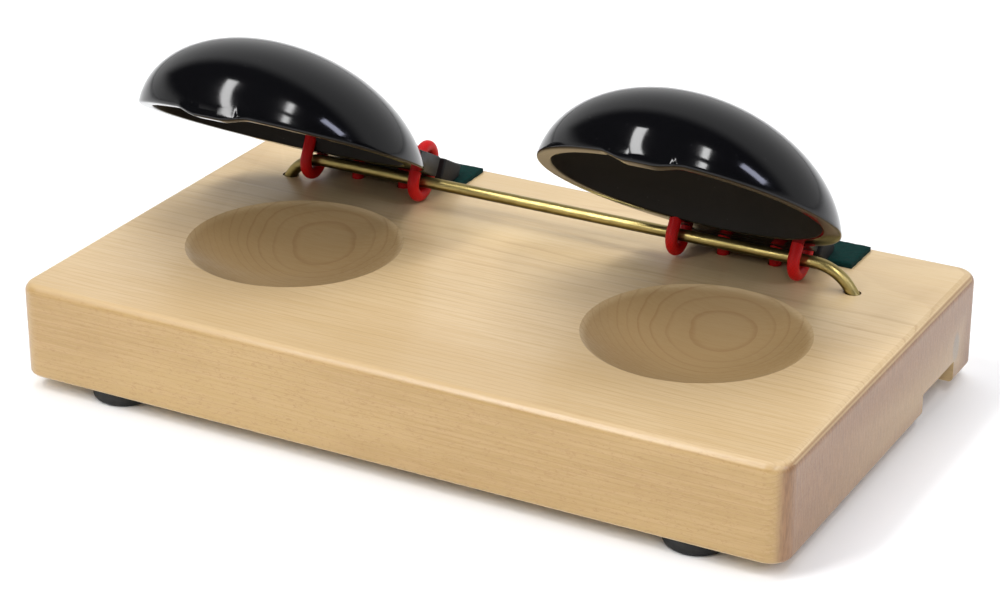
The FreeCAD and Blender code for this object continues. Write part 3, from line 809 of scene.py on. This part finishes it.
def make_knot(side, material):
    """The barrel knot in the groove: turns of cord round the run, and two cut tails."""
    middle = Vector((HINGE[side + "_castanet"].x, PULL_Y, CORD_RUN))
    turns, radius, long, thin, first_angle = 2.0, 1.75, 4.0, 1.05, 0.6
    steps = 72
    path = []
    for k in range(steps + 1):
        part = k / steps
        angle = 2 * math.pi * turns * part + first_angle
        path.append(middle + Vector((long * (part - 0.5), radius * math.cos(angle),
                                     radius * math.sin(angle))))
    parts = [path]
    for sign in (-1, 1):
        start = path[0] if sign < 0 else path[-1]
        tail = [start, start + Vector((sign * 1.0, -0.9, -0.4)),
                start + Vector((sign * 2.4, -1.9, -0.5)), start + Vector((sign * 3.6, -3.2, -0.2))]
        parts.append(smooth_path(tail))
    work = bmesh.new()
    for part in parts:
        work.from_mesh(tube("knot", part, thin, sides=16))
    mesh = bpy.data.meshes.new(side + "_knot")
    work.to_mesh(mesh)
    work.free()
    piece = new_piece(side + "_knot", mesh)
    put_on(piece, material)
    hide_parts(side + "_cord_knot")
    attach(piece, "base")


# ------------------------------------------------------------------ felt

def wobble(a, b, seed):
    """A smooth pseudo-random value from -1 to 1 that is the same in every run."""
    return (math.sin(a * 1.7 + seed) * math.sin(b * 2.3 - seed * 1.3)
            + 0.5 * math.sin(a * 4.1 - b * 3.3 + seed * 2.1)) / 1.5


def make_felt(side, material):
    """A cut strip of felt with soft, slightly ragged edges and an uneven top."""
    low, high = (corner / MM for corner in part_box(side + "_felt"))
    centre = (low + high) / 2
    half = (high - low) / 2
    nx, ny = 96, 34
    inset, raggedness, droop_depth, unevenness = 0.15, 0.12, 0.28, 0.04
    seed = 1.0 if side == "left" else 4.0
    points = []

    def add_layer(z_of):
        for j in range(ny + 1):
            for i in range(nx + 1):
                a, b = 2 * i / nx - 1, 2 * j / ny - 1
                ragged = raggedness * wobble(a * 9, b * 4, seed)
                x = centre.x + a * (half.x - inset) + (ragged if i in (0, nx) else 0.0)
                y = centre.y + b * (half.y - inset) + (ragged if j in (0, ny) else 0.0)
                points.append(Vector((x, y, z_of(a, b, x, y))))

    def top_height(a, b, x, y):
        edge = min(1 - abs(a), (1 - abs(b)) * half.y / half.x)
        droop = droop_depth * (1 - step_between(edge, 0.0, 0.035))
        return high.z - 0.05 - droop + unevenness * wobble(x, y, seed)

    add_layer(lambda a, b, x, y: low.z + 0.02)
    add_layer(top_height)
    row = nx + 1
    layer = row * (ny + 1)
    faces = []
    for j in range(ny):
        for i in range(nx):
            k = j * row + i
            faces.append((k, k + row, k + row + 1, k + 1))
            faces.append((layer + k, layer + k + 1, layer + k + row + 1, layer + k + row))
    border = [i for i in range(nx)] + [j * row + nx for j in range(ny)]
    border += [ny * row + i for i in range(nx, 0, -1)] + [j * row for j in range(ny, 0, -1)]
    for n, k in enumerate(border):
        m = border[(n + 1) % len(border)]
        faces.append((k, m, layer + m, layer + k))
    mesh = mesh_from(side + "_felt_pad", points, faces)
    shade(mesh, 70.0)
    piece = new_piece(side + "_felt_pad", mesh)
    put_on(piece, material)
    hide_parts(side + "_felt")
    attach(piece, "base")


# ------------------------------------------------------------------ build the object

maple = maple_material()
brass = brass_material()
black = shell_material()
red = cord_material()
felt = felt_material()
rubber = rubber_material()
steel = steel_material()

put_on(frame["nodes"]["base_block"], maple)
put_on(frame["nodes"]["hinge_rod"], brass)
for corner in CORNERS:
    put_on(frame["nodes"][corner + "_foot"], rubber)
    put_on(frame["nodes"][corner + "_screw"], steel)
for side in SIDES:
    outward = -1 if side == "left" else 1
    make_shell(side, black)
    make_ring(side, side + "_outer_ring", outward, red)
    make_ring(side, side + "_inner_ring", -outward, red)
    make_pull_cord(side, red)
    make_knot(side, red)
    make_felt(side, felt)


# ------------------------------------------------------------------ floor, light and camera

def make_floor():
    half = 3.0
    mesh = bpy.data.meshes.new("floor")
    corners = [(-half, -half, 0), (half, -half, 0), (half, half, 0), (-half, half, 0)]
    mesh.from_pydata(corners, [], [(0, 1, 2, 3)])
    floor = new_piece("floor", mesh)
    put_on(floor, floor_material())


def direction(azimuth, elevation):
    """A unit vector: azimuth 0 is towards the player, 90 to the right."""
    a, e = math.radians(azimuth), math.radians(elevation)
    return Vector((math.sin(a) * math.cos(e), -math.cos(a) * math.cos(e), math.sin(e)))


def area_light(name, low, high, width, power, colour=(1, 1, 1), mirrored=True):
    """A strip lamp between two directions, each an azimuth and an elevation, facing the object."""
    distance, aim = 1.5, Vector((0, 0, 0.03))
    ends = [direction(*low) * distance, direction(*high) * distance]
    lamp = bpy.data.lights.new(name, "AREA")
    lamp.shape = "RECTANGLE"
    lamp.size, lamp.size_y = width, (ends[1] - ends[0]).length
    lamp.energy = power
    lamp.color = colour
    made = bpy.data.objects.new(name, lamp)
    made.visible_glossy = mirrored
    middle = (ends[0] + ends[1]) / 2
    away = middle.normalized()
    along = (ends[1] - ends[0]).normalized()
    turn = Matrix((along.cross(away), along, away)).transposed().to_4x4()
    made.matrix_world = Matrix.Translation(middle + aim) @ turn
    bpy.context.scene.collection.objects.link(made)


def make_world():
    """White behind and near the horizon, dark overhead on the player's side."""
    world = bpy.data.worlds.new("studio")
    bpy.context.scene.world = world
    t = Tree(world)
    way = t.add("ShaderNodeTexCoord").outputs["Generated"]
    _, y, z = t.split(way)
    back = t.math("ADD", y, t.math("MULTIPLY", z, -0.15))
    low = t.between(z, 0.34, 0.12)
    bright = t.math("MAXIMUM", t.between(back, 0.1, 0.42), low)
    colour = t.blend(bright, (0.03, 0.03, 0.032), (1.0, 1.0, 1.0))
    made = t.add("ShaderNodeBackground", {"Color": colour, "Strength": 0.7})
    output = t.add("ShaderNodeOutputWorld")
    t.links.new(made.outputs[0], output.inputs["Surface"])


def make_camera():
    lens = bpy.data.cameras.new("camera")
    lens.sensor_width = 36.0
    lens.lens = 102.57
    lens.clip_end = 20.0
    camera = bpy.data.objects.new("camera", lens)
    place = (0.2980, -0.5508, 0.3066)
    heading, pitch = math.radians(28.44), math.radians(24.49)
    forward = Vector((-math.sin(heading) * math.cos(pitch), math.cos(heading) * math.cos(pitch),
                      -math.sin(pitch)))
    right = Vector((math.cos(heading), math.sin(heading), 0.0))
    up = right.cross(forward)
    turn = Matrix((right, up, -forward)).transposed().to_4x4()
    camera.matrix_world = Matrix.Translation(place) @ turn
    bpy.context.scene.collection.objects.link(camera)
    bpy.context.scene.camera = camera


make_floor()
make_world()
area_light("overhead", (200, 56), (200, 88), 1.1, 10.5, mirrored=False)
area_light("window_left", (-22, 26), (-62, 66), 0.2, 15.0)
area_light("window_middle_low", (31, 32), (38, 44), 0.13, 3.2)
area_light("window_middle_high", (42, 50), (62, 64), 0.13, 4.4)
area_light("window_right", (90, 26), (84, 44), 0.2, 4.0, (0.75, 0.78, 1.0))
make_camera()
bpy.context.scene.view_settings.view_transform = "Standard"
